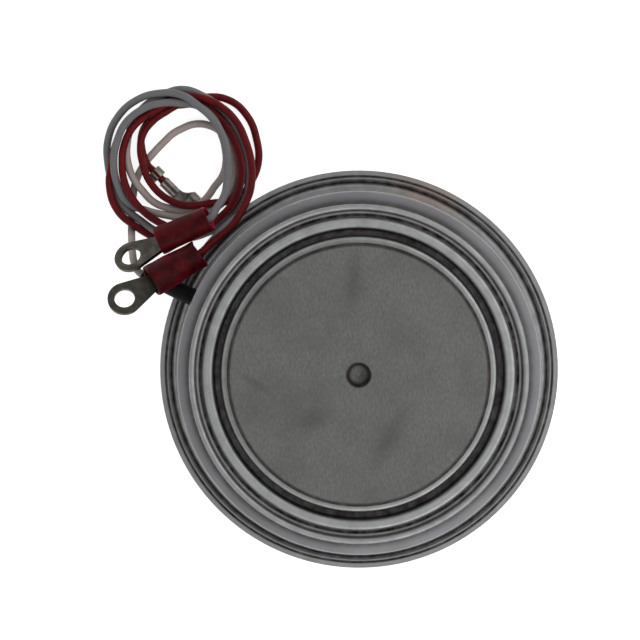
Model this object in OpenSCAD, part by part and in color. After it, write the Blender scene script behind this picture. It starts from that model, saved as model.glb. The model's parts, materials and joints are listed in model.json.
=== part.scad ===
// Disc thyristor: a pressure-contact capsule with two copper poles and a ribbed ceramic housing,
// a sleeved gate lead and a loose auxiliary cathode lead, both coiled beside the capsule.
// The origin is the centre of the lower (anode) pole face, +Z is the capsule's axis, and z = 0 is the table.

/* [Capsule] */
// Height between the two pole faces
capsule_h = 27; // [25:0.5:32]
// Diameter of each pole face
pole_d = 47.2; // [45:0.2:48]
// Chamfer round each pole face
pole_chamfer = 0.6; // [0.3:0.1:0.9]
// How far each pole face stands proud of its flange
face_proud = 2.6; // [2:0.1:3.2]
// Diameter of the welded rim
rim_d = 73.2; // [72.6:0.2:78]
// Height of the plane where the two rim sheets meet
rim_z = 6.6; // [6:0.1:7]

/* [Centring holes] */
// Diameter of the centring hole in each pole face
dowel_d = 3.5; // [2.5:0.1:5]
// Depth of the straight wall and chamfer of a centring hole
dowel_depth = 2; // [1.5:0.1:3]
// Chamfer at the mouth of a centring hole
dowel_chamfer = 0.45; // [0.2:0.05:0.8]
// Depth of the drill point below the hole's wall
dowel_tip = 0.4; // [0.2:0.1:0.8]

/* [Flanges] */
// Thickness of the nickel-plated sheet
sheet_t = 0.5; // [0.4:0.05:0.6]
// Inner radius of a bend in the sheet
bend_r = 0.15; // [0.1:0.05:0.25]
// Width of the land brazed to the pole's shoulder
land_w = 1.1; // [1:0.1:1.3]
// Clear width of the deep groove next to the pole
groove_w = 1.4; // [1.2:0.1:1.8]
// Depth of the deep groove
groove_depth = 2.6; // [2:0.1:3]
// Width of the rounded crest between the grooves
crest_w = 2; // [1.7:0.1:2.2]
// Clear width of the narrow groove brazed to the ceramic
seat_w = 1.3; // [1.1:0.1:1.5]
// Depth of the narrow groove
seat_depth = 1.6; // [1.2:0.1:2]
// Width of the outer lip
lip_w = 1.1; // [1:0.1:1.3]
// How far the outer lip turns down
lip_drop = 0.9; // [0.7:0.1:1.1]

/* [Weld rim] */
// Width of the flat band at the rim's edge
band_w = 0.85; // [0.6:0.05:1.2]
// Width of the pressed weld groove
weld_groove_w = 0.4; // [0.3:0.05:0.5]
// Depth of the pressed weld groove
weld_groove_depth = 0.2; // [0.1:0.05:0.25]
// Width of the thin ridge inside the weld groove
ridge_w = 0.4; // [0.3:0.05:0.6]
// Height of the thin ridge
ridge_h = 0.3; // [0.2:0.05:0.5]
// Height of the ceramic's lower end above the rim plane
ceramic_lift = 2; // [1.8:0.1:2.2]

/* [Ceramic] */
// Gap between the flange's deep groove and the ceramic's bore
bore_gap = 0.45; // [0.3:0.05:0.6]
// Wall of the ceramic between its ribs
core_wall = 3.4; // [3.2:0.1:4]
// How far a rib stands out
rib_w = 2.4; // [2:0.1:2.8]
// Distance from rib to rib
rib_pitch = 4.9; // [4.6:0.1:4.9]
// Thickness of a rib at its root
rib_root = 2.4; // [2:0.1:2.4]
// Thickness of a rib at its crest
rib_crest = 1.3; // [1:0.1:1.5]

/* [Contact stack] */
// Height of the anode pole's inner face
stack_z = 7.4; // [7:0.1:7.8]
// Thickness of the anode molybdenum disc
anode_moly_t = 2.2; // [1.8:0.1:2.4]
// Thickness of the silicon wafer
wafer_t = 0.7; // [0.4:0.1:1]
// Thickness of the cathode molybdenum disc
cathode_moly_t = 1; // [0.6:0.1:1.2]
// Diameter of the silicon wafer
wafer_d = 42; // [38:0.5:43]
// Diameter of the cathode contact and its molybdenum disc
contact_d = 39; // [34:0.5:41]
// Height of the cathode pole's contact end
contact_h = 3; // [2.4:0.1:4]
// Diameter of the gate's hole in the cathode molybdenum disc
moly_hole_d = 4.8; // [4:0.1:5.4]
// Gap between the locating ring and what it locates
locating_gap = 0.3; // [0.2:0.05:0.5]
// Height of the locating ring above the anode pole
locating_h = 3.2; // [2.9:0.1:3.3]

/* [Gate] */
// Direction of the gate terminal round the axis, in degrees
gate_angle = 156; // [150:1:160]
// Diameter of the gate bore in the cathode pole
gate_bore_d = 6; // [5.6:0.1:7]
// Depth of the gate bore
gate_bore_depth = 8; // [7:0.1:9]
// Height of the slot for the inner gate lead
slot_h = 2; // [1.8:0.1:2.4]
// Width of that slot
slot_w = 2.2; // [1.8:0.1:2.6]
// Diameter of the gate terminal pin
gate_pin_d = 1.5; // [1.2:0.1:1.6]
// Reach of the gate terminal pin from the axis
gate_pin_reach = 38; // [36.5:0.5:38.5]
// Outer diameter of the brazed gate tube
gate_tube_d = 2.5; // [2.3:0.1:2.8]
// Outer diameter of the black sleeve
sleeve_d = 2.8; // [2.7:0.1:3]
// Wall of the black sleeve
sleeve_wall = 0.3; // [0.2:0.05:0.35]
// Reach of the black sleeve's end from the axis
sleeve_reach = 43.4; // [42.6:0.2:44]

/* [Leads] */
// Diameter of each lead over its insulation
lead_d = 1.4; // [1:0.1:1.5]
// Inner diameter of the coil of leads
coil_inner_d = 16.4; // [14:0.2:17]
// Outer diameter of the coil of leads
coil_outer_d = 27.2; // [24:0.2:27.4]
// Height of the gate lead's share of the coil
gate_coil_h = 3.4; // [3:0.1:3.6]
// Height of the cathode lead's share of the coil
cathode_coil_h = 3.5; // [3:0.1:3.7]

/* [Ring terminals] */
// Outer diameter of the ring
ring_d = 6.2; // [5.8:0.1:7]
// Diameter of the stud hole
stud_d = 3.7; // [3.2:0.1:4.3]
// Thickness of the tongue
tongue_t = 0.8; // [0.6:0.05:1]
// Outer diameter of the crimp barrel
barrel_d = 3.3; // [3:0.1:3.4]
// Inner diameter of the crimp barrel
barrel_bore_d = 1.9; // [1.6:0.1:2.2]

/* [Push-on receptacle] */
// Thickness of the receptacle's sheet
receptacle_t = 0.35; // [0.3:0.05:0.45]
// Radius of a rolled rail, at the middle of the sheet
rail_r = 0.75; // [0.6:0.05:0.85]
// Distance between the centres of the two rolled rails
rail_gauge = 3.8; // [3.4:0.1:4.4]
// Length of the rolled receptacle body
receptacle_l = 6.4; // [5.6:0.1:6.8]

/* [Hidden] */
$fn = 96;

// Running margin of a cut past the face it opens
cut = 1;
// Clearance of a brazed or crimped fit
braze_gap = 0.05;
// Segments of a small fillet in a profile
fillet_steps = 5;
// Largest share of a side that one rounded corner takes
corner_share = 0.49;

// Radii of the flange's steps, from the pole outwards
pole_r = pole_d / 2;
groove_in_r = pole_r + land_w;
groove_out_r = groove_in_r + groove_w;
crest_r = groove_out_r + crest_w;
seat_r = crest_r + seat_w;
lip_r = seat_r + lip_w;
body_r = groove_in_r - sheet_t - braze_gap;
groove_bend_r = groove_w / 3;

// Heights of the cathode flange and of the ceramic's two ends
land_z = capsule_h - face_proud;
shoulder_z = land_z - sheet_t;
ceramic_top_z = land_z - seat_depth - sheet_t;
ceramic_low_z = rim_z + ceramic_lift;

// Radii of the ceramic, with its rounded ends, and of the rim with its stepped sheet
bore_r = groove_out_r + sheet_t + bore_gap;
core_r = bore_r + core_wall;
rib_r = core_r + rib_w;
rib_count = 3;
end_edge = 0.35;
rim_r = rim_d / 2;
weld_groove_r = rim_r - band_w - weld_groove_w;
ridge_r = weld_groove_r - ridge_w;
ridge_foot = 0.35;
ridge_draft = 0.3;
step_r = ridge_r - ridge_foot;
step_w = 0.8;

// Heights of the contact stack
wafer_z = stack_z + anode_moly_t;
cathode_moly_z = wafer_z + wafer_t;
stack_top_z = cathode_moly_z + cathode_moly_t;
gate_z = stack_top_z + slot_h / 2;

// Gate contact, spring and insulating cup
contact_pin_r = 1;
collar_r = 1.9;
collar_t = 0.6;
spigot_r = 0.7;
spigot_h = 1.4;
cup_wall = 0.8;
cup_gap = 0.06;
spring_wire_r = 0.28;
spring_r = 1.45;
spring_turns = 5;
spring_steps = 14;
spring_sides = 6;
collar_lift = 0.6;
collar_z = stack_top_z + slot_h + collar_lift;
cup_top_z = stack_top_z + gate_bore_depth - cup_gap;

// Gate terminal, outwards along its own axis
inner_lead_d = 1.2;
tube_inset = 0.3;
pin_inset = 1.3;
pin_start = bore_r - pin_inset;
tube_collar_t = 0.4;
tube_collar_w = 0.55;
tube_collar_r = gate_tube_d / 2 + tube_collar_w;
spot_gap = 0.2;
spot_depth = 0.3;
spot_r = tube_collar_r + spot_gap;
spot_reach = core_r - spot_depth;
tube_out = 1;
tube_reach = core_r + tube_out;
sleeve_gap = 0.3;
sleeve_start = tube_reach + sleeve_gap;
socket_d = sleeve_d - 2 * sleeve_wall - 2 * braze_gap;
socket_inset = 0.4;
socket_start = sleeve_start + socket_inset;
socket_crimp_l = 2.2;
socket_reach = gate_pin_reach + socket_crimp_l;
sleeve_neck = socket_reach + sleeve_gap;

// Place of the coil, and of the ring terminals: the ring's centre, then its roll, dip and heading
coil_centre = [-32.8, 38];
lead_sides = 8;
gate_terminal_at = [-41.5, 20.8, 12.8];
gate_terminal_turn = [-38, 0, 24.2];
cathode_terminal_at = [-42.4, 13.3, 17.5];
cathode_terminal_turn = [-23, 14, 30];

// Ring terminal, along its own axis from the ring's centre
barrel_axis_z = 0.9;
flare_x = 1.86;
flare_w = 5.33;
neck_x = 5.5;
neck_w = 3.5;
neck_sides = 32;
barrel_x = 7;
barrel_end_x = 12.3;
barrel_blind = 0.9;

// Stations of each vinyl sleeve: place, outer half width and height, inner half width and height
sleeve_sides = 20;
sleeve_end_x = 16.2;
gate_sleeve_stations = [
    [5.6, 2.6, 2.4, 2.3, 2.15],
    [7.1, 2.65, 2.4, 2.2, 2.1],
    [7.9, 2.6, 2.25, 1.8, 1.75],
    [9.5, 2.65, 2.2, 1.8, 1.75],
    [12.5, 2.6, 2.3, 1.8, 1.75],
    [13.2, 2.6, 2.25, 1.25, 1.25],
    [14.6, 2.65, 2.35, 1.25, 1.25],
    [15.7, 2.7, 2.5, 2, 1.9],
    [sleeve_end_x, 2.75, 2.6, 2.3, 2.2]
];
cathode_sleeve_stations = [
    [5.6, 2.6, 2.35, 2.3, 2.15],
    [7.1, 2.65, 2.35, 2.2, 2.1],
    [7.9, 2.6, 2.15, 1.8, 1.75],
    [9.5, 2.65, 2.05, 1.8, 1.75],
    [11, 2.5, 2.15, 1.8, 1.75],
    [12.5, 2.35, 2.15, 1.8, 1.75],
    [13.2, 2.35, 1.9, 1.25, 1.25],
    [14.6, 2.25, 1.95, 1.25, 1.25],
    [15.7, 2.25, 2.15, 1.7, 1.7],
    [sleeve_end_x, 2.35, 2.3, 2, 2]
];

// Receptacle, along its own axis from the start of its conductor crimp
receptacle_at = [-36.2, 34.6, 0];
receptacle_heading = -45.5;
crimp_l = 3.2;
crimp_w = 2;
crimp_lobe_r = 0.5;
crimp_h = 1.7;
receptacle_x = 5;
wing_l = 2.1;
wing_start_x = -3;
wing_base_w = 1.2;
wing_wrap = 75;
wing_step = 15;
rail_wrap = 150;
rail_step = 20;
crimp_lead_x = -0.2;
lead_r = lead_d / 2;
crimp_lead_z = receptacle_t + braze_gap + lead_r;

// Routes of the stretches of lead that aren't coiled, in millimetres, from the capsule outwards
gate_route = [
    [-40.6, 18.6, 12], [-41.2, 20.4, 10.8], [-41.8, 22.4, 8.7], [-42.2, 24.2, 6.4],
    [-42.4, 26, 4], [-42.6, 27.4, 2.1]
];
gate_tail_route = [
    [-26, 29.6, 12.4], [-25.1, 31.8, 10.8], [-24.6, 34.4, 9], [-24.4, 37, 7.7]
];
cathode_route = [[-39, 37.4, 1.5], [-39.6, 38.6, 2]];
cathode_tail_route = [
    [-27, 22.5, 13.6], [-25, 24.4, 12.4], [-23.2, 26.4, 11.2], [-21.8, 28.6, 10],
    [-20.6, 31, 8.8], [-19.8, 33.6, 7.8]
];

function unit(v) = v / norm(v);
function flat(p) = [p[0], p[1]];
function turn_between(a, b) = atan2(a[0] * b[1] - a[1] * b[0], a * b);
function turned(v, angle) = [
    v[0] * cos(angle) - v[1] * sin(angle),
    v[0] * sin(angle) + v[1] * cos(angle)
];

// Arc that rounds the corner q between p and s, never longer than its two sides allow
function corner(p, q, s, radius) =
    let (
        a = unit(q - p),
        b = unit(s - q),
        angle = turn_between(a, b),
        bend = abs(angle),
        reach = min(radius * tan(bend / 2), corner_share * norm(q - p), corner_share * norm(s - q))
    )
    bend < 1 || radius == 0 ? [q] :
    let (
        start = q - a * reach,
        centre = start + [-a[1], a[0]] * sign(angle) * reach / tan(bend / 2)
    )
    [for (i = [0 : fillet_steps]) centre + turned(start - centre, angle * i / fillet_steps)];

// Open path of [r, z, fillet] points with its corners rounded
function softened(path) = [
    for (i = [0 : len(path) - 1])
        each (i == 0 || i == len(path) - 1)
            ? [flat(path[i])]
            : corner(flat(path[i - 1]), flat(path[i]), flat(path[i + 1]), path[i][2])
];

// Closed outline of [r, z, fillet] points with its corners rounded
function softened_loop(path) =
    let (n = len(path))
    [
        for (i = [0 : n - 1])
            each corner(flat(path[(i + n - 1) % n]), flat(path[i]), flat(path[(i + 1) % n]), path[i][2])
    ];

// Mitred normal of a path at point i, to the left of its direction
function left_normal(path, i) =
    let (
        last = len(path) - 1,
        a = unit(path[max(i, 1)] - path[max(i, 1) - 1]),
        b = unit(path[min(i + 1, last)] - path[min(i, last - 1)]),
        m = unit(a + b)
    )
    [-m[1], m[0]] / (m * a);

// Outline of a sheet of thickness t, to the left of a path, or to its right if t is negative
function thickened(path, t) = concat(
    path,
    [for (i = [len(path) - 1 : -1 : 0]) path[i] + left_normal(path, i) * t]
);

// Directions across a route, carried along it without twist
function along(route, i) =
    unit(route[min(i + 1, len(route) - 1)] - route[max(i - 1, 0)]);
function across(route, i) =
    let (
        t = along(route, i),
        u = i == 0 ? cross(t, abs(t[2]) < 0.9 ? [0, 0, 1] : [1, 0, 0]) : across(route, i - 1)
    )
    unit(u - t * (u * t));

// Rings of points round a route
function route_rings(route, radius, sides) = [
    for (i = [0 : len(route) - 1])
        let (u = across(route, i), v = cross(along(route, i), u))
        [
            for (k = [0 : sides - 1])
                route[i] + radius * (u * cos(360 * k / sides) + v * sin(360 * k / sides))
        ]
];

// Point on the axis of a ring terminal's barrel
function barrel_point(at, turn, x) =
    let (
        lift = barrel_axis_z * cos(turn[0]),
        side = -barrel_axis_z * sin(turn[0]),
        reach = x * cos(turn[1]) + lift * sin(turn[1])
    )
    at + [
        reach * cos(turn[2]) - side * sin(turn[2]),
        reach * sin(turn[2]) + side * cos(turn[2]),
        lift * cos(turn[1]) - x * sin(turn[1])
    ];

// Point on the gate terminal's axis, and on the receptacle's
function gate_point(reach) = [reach * cos(gate_angle), reach * sin(gate_angle), gate_z];
function receptacle_point(x) =
    receptacle_at + [x * cos(receptacle_heading), x * sin(receptacle_heading), crimp_lead_z];

// Closed solid through rings of points, with flat ends
module skin(rings) {
    n = len(rings[0]);
    last = len(rings) - 1;
    sides = [
        for (i = [0 : last - 1], k = [0 : n - 1])
            [i * n + k, (i + 1) * n + k, (i + 1) * n + (k + 1) % n, i * n + (k + 1) % n]
    ];
    ends = [
        [for (k = [0 : n - 1]) k],
        [for (k = [n - 1 : -1 : 0]) last * n + k]
    ];
    polyhedron([for (ring = rings) each ring], concat(sides, ends), convexity = 8);
}

// Closed solid through rings of points, where the last ring joins the first
module loop_skin(rings) {
    n = len(rings[0]);
    count = len(rings);
    sides = [
        for (i = [0 : count - 1], k = [0 : n - 1])
            let (j = (i + 1) % count)
            [i * n + k, j * n + k, j * n + (k + 1) % n, i * n + (k + 1) % n]
    ];
    polyhedron([for (ring = rings) each ring], sides, convexity = 8);
}

module revolved(outline) {
    rotate_extrude() polygon(outline);
}

module ring_solid(inner_r, outer_r, low_z, high_z) {
    revolved([[inner_r, low_z], [outer_r, low_z], [outer_r, high_z], [inner_r, high_z]]);
}

// Turns a solid whose axis is +Z into one on the gate terminal's axis
module on_gate_axis() {
    translate([0, 0, gate_z]) rotate([0, 90, gate_angle]) children();
}

module lead_tube(route) {
    skin(route_rings(route, lead_r, lead_sides));
}

// Half of a pole's outline that carries the centring hole and the chamfered face
function pole_outline(inner_edge) = concat(
    inner_edge,
    [
        [body_r, shoulder_z - 2 * bend_r],
        [body_r - 2 * bend_r, shoulder_z],
        [pole_r, shoulder_z],
        [pole_r, capsule_h - pole_chamfer],
        [pole_r - pole_chamfer, capsule_h],
        [dowel_d / 2 + dowel_chamfer, capsule_h],
        [dowel_d / 2, capsule_h - dowel_chamfer],
        [dowel_d / 2, capsule_h - dowel_depth],
        [0, capsule_h - dowel_depth - dowel_tip]
    ]
);

module cathode_pole() {
    edge = [
        [0, stack_top_z],
        [contact_d / 2, stack_top_z],
        [contact_d / 2, stack_top_z + contact_h],
        [body_r, stack_top_z + contact_h]
    ];
    color("#6e6c69") difference() {
        revolved(pole_outline(edge));
        translate([0, 0, stack_top_z - cut]) cylinder(d = gate_bore_d, h = gate_bore_depth + cut);
        rotate([0, 0, gate_angle])
            translate([0, -slot_w / 2, stack_top_z - cut]) cube([body_r + cut, slot_w, slot_h + cut]);
    }
}

module anode_pole() {
    edge = [[0, capsule_h - stack_z], [body_r, capsule_h - stack_z]];
    color("#6e6c69") translate([0, 0, capsule_h]) mirror([0, 0, 1]) revolved(pole_outline(edge));
}

// Steps of a flange beside its pole: land, deep groove and rounded crest, at height z, grooved by depth
function flange_steps(z, depth) = [
    [pole_r, z],
    [groove_in_r, z, bend_r + sheet_t],
    [groove_in_r, z - depth, groove_bend_r],
    [groove_out_r, z - depth, groove_bend_r],
    [groove_out_r, z, bend_r + sheet_t]
];

module cathode_flange() {
    path = concat(flange_steps(land_z, groove_depth), [
        [crest_r, land_z, bend_r + sheet_t],
        [crest_r, land_z - seat_depth, bend_r],
        [seat_r, land_z - seat_depth, bend_r],
        [seat_r, land_z, bend_r + sheet_t],
        [lip_r, land_z, bend_r + sheet_t],
        [lip_r, land_z - lip_drop]
    ]);
    color("#8d8b86") revolved(thickened(softened(path), -sheet_t));
}

module anode_flange() {
    low_z = rim_z - sheet_t;
    path = concat(flange_steps(face_proud, -groove_depth), [
        [crest_r, face_proud, bend_r + sheet_t],
        [crest_r + step_w, low_z, bend_r],
        [rim_r, low_z]
    ]);
    color("#8d8b86") difference() {
        revolved(thickened(softened(path), sheet_t));
        ring_solid(weld_groove_r, weld_groove_r + weld_groove_w, low_z - cut, low_z + weld_groove_depth);
    }
}

module weld_ring() {
    top_z = rim_z + sheet_t;
    path = [
        [bore_r + end_edge, ceramic_low_z],
        [step_r - step_w, ceramic_low_z, bend_r + sheet_t],
        [step_r, top_z, bend_r],
        [rim_r, top_z]
    ];
    color("#8d8b86") difference() {
        union() {
            revolved(thickened(softened(path), -sheet_t));
            revolved([
                [ridge_r, top_z - sheet_t / 2],
                [ridge_r + ridge_w, top_z - sheet_t / 2],
                [ridge_r + (1 - ridge_draft) * ridge_w, top_z + ridge_h],
                [ridge_r + ridge_draft * ridge_w, top_z + ridge_h]
            ]);
        }
        ring_solid(weld_groove_r, weld_groove_r + weld_groove_w, top_z - weld_groove_depth, top_z + cut);
    }
}

// Ribbed wall; the gate's axis lies midway between its two lower ribs
module ceramic_ring() {
    rib_edge = rib_crest / 2;
    ribs = [
        for (i = [0 : rib_count - 1])
            let (z = gate_z + (i - 0.5) * rib_pitch, top = i == rib_count - 1)
            each [
                [core_r, z - rib_root / 2, rib_edge],
                [rib_r, z - rib_crest / 2, rib_edge],
                [rib_r, z + rib_crest / 2, rib_edge],
                [core_r, top ? ceramic_top_z - end_edge : z + rib_root / 2, rib_edge]
            ]
    ];
    outline = concat(
        [[bore_r, ceramic_low_z, end_edge], [core_r - end_edge, ceramic_low_z, end_edge]],
        ribs,
        [[core_r - end_edge, ceramic_top_z, end_edge], [bore_r, ceramic_top_z, end_edge]]
    );
    color("#8f8a92") difference() {
        revolved(softened_loop(outline));
        on_gate_axis() {
            translate([0, 0, bore_r - cut])
                cylinder(d = gate_tube_d + 2 * braze_gap, h = core_wall + rib_w + 2 * cut);
            translate([0, 0, spot_reach]) cylinder(r = spot_r, h = rib_w + 2 * cut);
        }
    }
}

module anode_molybdenum_disc() {
    color("#7b7d80") translate([0, 0, stack_z]) cylinder(d = wafer_d, h = anode_moly_t);
}

module silicon_wafer() {
    color("#4a4f5c") translate([0, 0, wafer_z]) cylinder(d = wafer_d, h = wafer_t);
}

module cathode_molybdenum_disc() {
    color("#7b7d80") ring_solid(moly_hole_d / 2, contact_d / 2, cathode_moly_z, stack_top_z);
}

module locating_ring() {
    color("#d9d5c8")
        ring_solid(wafer_d / 2 + locating_gap, bore_r - locating_gap, stack_z, stack_z + locating_h);
}

module gate_contact_pin() {
    top_z = collar_z + collar_t;
    color("#b9a46a") revolved([
        [0, cathode_moly_z],
        [contact_pin_r, cathode_moly_z],
        [contact_pin_r, collar_z],
        [collar_r, collar_z],
        [collar_r, top_z],
        [spigot_r, top_z],
        [spigot_r, top_z + spigot_h],
        [0, top_z + spigot_h]
    ]);
}

module gate_spring() {
    low_z = collar_z + collar_t + spring_wire_r + braze_gap;
    high_z = cup_top_z - cup_wall - spring_wire_r - braze_gap;
    count = spring_turns * spring_steps;
    route = [
        for (i = [0 : count])
            let (angle = 360 * i / spring_steps)
            [spring_r * cos(angle), spring_r * sin(angle), low_z + (high_z - low_z) * i / count]
    ];
    color("#9a9a98") skin(route_rings(route, spring_wire_r, spring_sides));
}

module gate_insulator() {
    cup_r = gate_bore_d / 2 - cup_gap;
    color("#e6e2d6") difference() {
        revolved([
            [cup_r - cup_wall, stack_top_z],
            [cup_r, stack_top_z],
            [cup_r, cup_top_z],
            [0, cup_top_z],
            [0, cup_top_z - cup_wall],
            [cup_r - cup_wall, cup_top_z - cup_wall]
        ]);
        rotate([0, 0, gate_angle])
            translate([0, -slot_w / 2, stack_top_z - cut]) cube([gate_bore_d, slot_w, slot_h + cut]);
    }
}

module gate_inner_lead() {
    start = contact_pin_r + braze_gap;
    color("#d8d4cc") on_gate_axis()
        translate([0, 0, start]) cylinder(d = inner_lead_d, h = pin_start - start);
}

module gate_tube() {
    color("#8d8b86") on_gate_axis() difference() {
        union() {
            translate([0, 0, bore_r - tube_inset])
                cylinder(d = gate_tube_d, h = tube_reach - bore_r + tube_inset);
            translate([0, 0, spot_reach]) cylinder(r = tube_collar_r, h = tube_collar_t);
        }
        translate([0, 0, bore_r - cut])
            cylinder(d = gate_pin_d + 2 * braze_gap, h = tube_reach - bore_r + 2 * cut);
    }
}

module gate_pin() {
    color("#a09c92") on_gate_axis()
        translate([0, 0, pin_start]) cylinder(d = gate_pin_d, h = gate_pin_reach - pin_start);
}

module gate_pin_socket() {
    color("#b9a46a") on_gate_axis() difference() {
        translate([0, 0, socket_start]) cylinder(d = socket_d, h = socket_reach - socket_start);
        translate([0, 0, socket_start - cut])
            cylinder(d = gate_pin_d + 2 * braze_gap, h = gate_pin_reach - socket_start + cut + braze_gap);
    }
}

module gate_sleeve() {
    outer_r = sleeve_d / 2;
    grip_r = lead_r + braze_gap;
    color("#161514") on_gate_axis() revolved([
        [outer_r - sleeve_wall, sleeve_start],
        [outer_r, sleeve_start],
        [outer_r, sleeve_reach - sleeve_wall],
        [outer_r - sleeve_wall / 2, sleeve_reach],
        [grip_r, sleeve_reach],
        [grip_r, sleeve_neck + sleeve_wall],
        [outer_r - sleeve_wall, sleeve_neck]
    ]);
}

module gate_lead() {
    color("#9a8f8d")
        lead_tube(concat([gate_point(socket_reach), gate_point(sleeve_reach)], gate_route));
}

// Share of the coil between two heights
module coil_share(low_z, high_z) {
    edge = lead_r;
    translate([coil_centre[0], coil_centre[1], 0]) revolved(softened_loop([
        [coil_inner_d / 2, low_z, edge],
        [coil_outer_d / 2, low_z, edge],
        [coil_outer_d / 2, high_z, edge],
        [coil_inner_d / 2, high_z, edge]
    ]));
}

module gate_lead_coil() {
    room = [coil_outer_d, rail_gauge + 2 * rail_r + receptacle_t + lead_d];
    color("#6b6b6d") difference() {
        coil_share(0, gate_coil_h);
        translate([receptacle_at[0], receptacle_at[1], -cut]) rotate([0, 0, receptacle_heading])
            translate([crimp_l, -room[1] / 2, 0]) cube([room[0], room[1], gate_coil_h + 2 * cut]);
    }
}

module cathode_lead_coil() {
    color("#4f1517") coil_share(gate_coil_h, gate_coil_h + cathode_coil_h);
}

// Stretch of lead from a ring terminal's barrel to the coil
module terminal_lead(at, turn, route) {
    inside = barrel_point(at, turn, barrel_end_x);
    mouth = barrel_point(at, turn, sleeve_end_x);
    lead_tube(concat([inside, (inside + mouth) / 2, mouth], route));
}

module gate_lead_tail() {
    color("#6b6b6d") terminal_lead(gate_terminal_at, gate_terminal_turn, gate_tail_route);
}

module cathode_lead_tail() {
    color("#4f1517") terminal_lead(cathode_terminal_at, cathode_terminal_turn, cathode_tail_route);
}

module cathode_lead() {
    color("#4f1517") lead_tube(concat(
        [receptacle_point(crimp_lead_x), receptacle_point(wing_start_x)],
        cathode_route
    ));
}

// Ring, tapered neck and crimp barrel of one terminal
module ring_terminal(at, turn) {
    ring_r = ring_d / 2;
    translate(at) rotate(turn) difference() {
        union() {
            translate([0, 0, -tongue_t / 2]) linear_extrude(tongue_t) {
                circle(r = ring_r);
                polygon([
                    [0, -ring_r], [flare_x, -flare_w / 2], [neck_x, -neck_w / 2],
                    [neck_x, neck_w / 2], [flare_x, flare_w / 2], [0, ring_r]
                ]);
            }
            hull() {
                translate([neck_x - tongue_t, -neck_w / 2, -tongue_t / 2]) cube([tongue_t, neck_w, tongue_t]);
                translate([barrel_x, 0, barrel_axis_z]) rotate([0, 90, 0])
                    cylinder(d = barrel_d, h = barrel_blind / 2, $fn = neck_sides);
            }
            translate([barrel_x, 0, barrel_axis_z]) rotate([0, 90, 0])
                cylinder(d = barrel_d, h = barrel_end_x - barrel_x);
        }
        translate([0, 0, -tongue_t]) cylinder(d = stud_d, h = 2 * tongue_t);
        translate([barrel_x + barrel_blind, 0, barrel_axis_z]) rotate([0, 90, 0])
            cylinder(d = barrel_bore_d, h = barrel_end_x);
    }
}

module gate_ring_terminal() {
    color("#4b4a45") ring_terminal(gate_terminal_at, gate_terminal_turn);
}

module cathode_ring_terminal() {
    color("#4b4a45") ring_terminal(cathode_terminal_at, cathode_terminal_turn);
}

// Oval across a terminal's axis at station x
function oval(x, half_w, half_h) = [
    for (k = [0 : sleeve_sides - 1])
        let (angle = 360 * k / sleeve_sides)
        [x, half_w * cos(angle), barrel_axis_z + half_h * sin(angle)]
];

// Crimped vinyl sleeve: its outside from the tongue to the lead, then its inside back again
module terminal_sleeve(at, turn, stations) {
    last = len(stations) - 1;
    outside = [for (s = stations) oval(s[0], s[1], s[2])];
    inside = [for (i = [last : -1 : 0]) let (s = stations[i]) oval(s[0], s[3], s[4])];
    translate(at) rotate(turn) loop_skin(concat(outside, inside));
}

module gate_terminal_sleeve() {
    color("#8c1024") terminal_sleeve(gate_terminal_at, gate_terminal_turn, gate_sleeve_stations);
}

module cathode_terminal_sleeve() {
    color("#8c1024") terminal_sleeve(cathode_terminal_at, cathode_terminal_turn, cathode_sleeve_stations);
}

// Extrudes an outline drawn across the receptacle's axis
module along_receptacle(x, length) {
    translate([x, 0, 0]) rotate([90, 0, 90]) linear_extrude(length) children();
}

// Outside of the receptacle's body, a base with a rolled rail at each side
function rail_path() =
    let (
        half = rail_gauge / 2,
        r = rail_r + receptacle_t / 2,
        roll = [for (angle = [-90 : rail_step : rail_wrap]) [half + r * cos(angle), r * (1 + sin(angle))]]
    )
    concat([for (i = [len(roll) - 1 : -1 : 0]) [-roll[i][0], roll[i][1]]], roll);

// Inside of one insulation wing, which wraps the lead from side +1 or -1
function wing_path(side) = [
    for (angle = [-90 : wing_step : wing_wrap])
        let (r = lead_r + braze_gap)
        [side * r * cos(angle), crimp_lead_z + r * sin(angle)]
];

module cathode_receptacle() {
    lobe_y = crimp_w / 2 - crimp_lobe_r;
    color("#8a857c") translate(receptacle_at) rotate([0, 0, receptacle_heading]) {
        along_receptacle(receptacle_x, receptacle_l) polygon(thickened(rail_path(), receptacle_t));
        linear_extrude(receptacle_t) polygon([
            [wing_start_x, -wing_base_w / 2], [0, -wing_base_w / 2], [crimp_l, -crimp_w / 2],
            [receptacle_x, -crimp_w / 2], [receptacle_x + rail_r, -rail_gauge / 2],
            [receptacle_x + rail_r, rail_gauge / 2], [receptacle_x, crimp_w / 2],
            [crimp_l, crimp_w / 2], [0, wing_base_w / 2], [wing_start_x, wing_base_w / 2]
        ]);
        along_receptacle(0, crimp_l) {
            translate([-crimp_w / 2, crimp_lobe_r]) square([crimp_w, crimp_h - 2 * crimp_lobe_r]);
            translate([-lobe_y, 0]) square([2 * lobe_y, crimp_lobe_r]);
            for (side = [-1, 1]) {
                translate([side * lobe_y, crimp_h - crimp_lobe_r]) circle(r = crimp_lobe_r);
                translate([side * lobe_y, crimp_lobe_r]) circle(r = crimp_lobe_r);
            }
        }
        along_receptacle(wing_start_x, wing_l) polygon(thickened(wing_path(1), -receptacle_t));
        along_receptacle(wing_start_x, wing_l) polygon(thickened(wing_path(-1), receptacle_t));
    }
}

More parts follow.
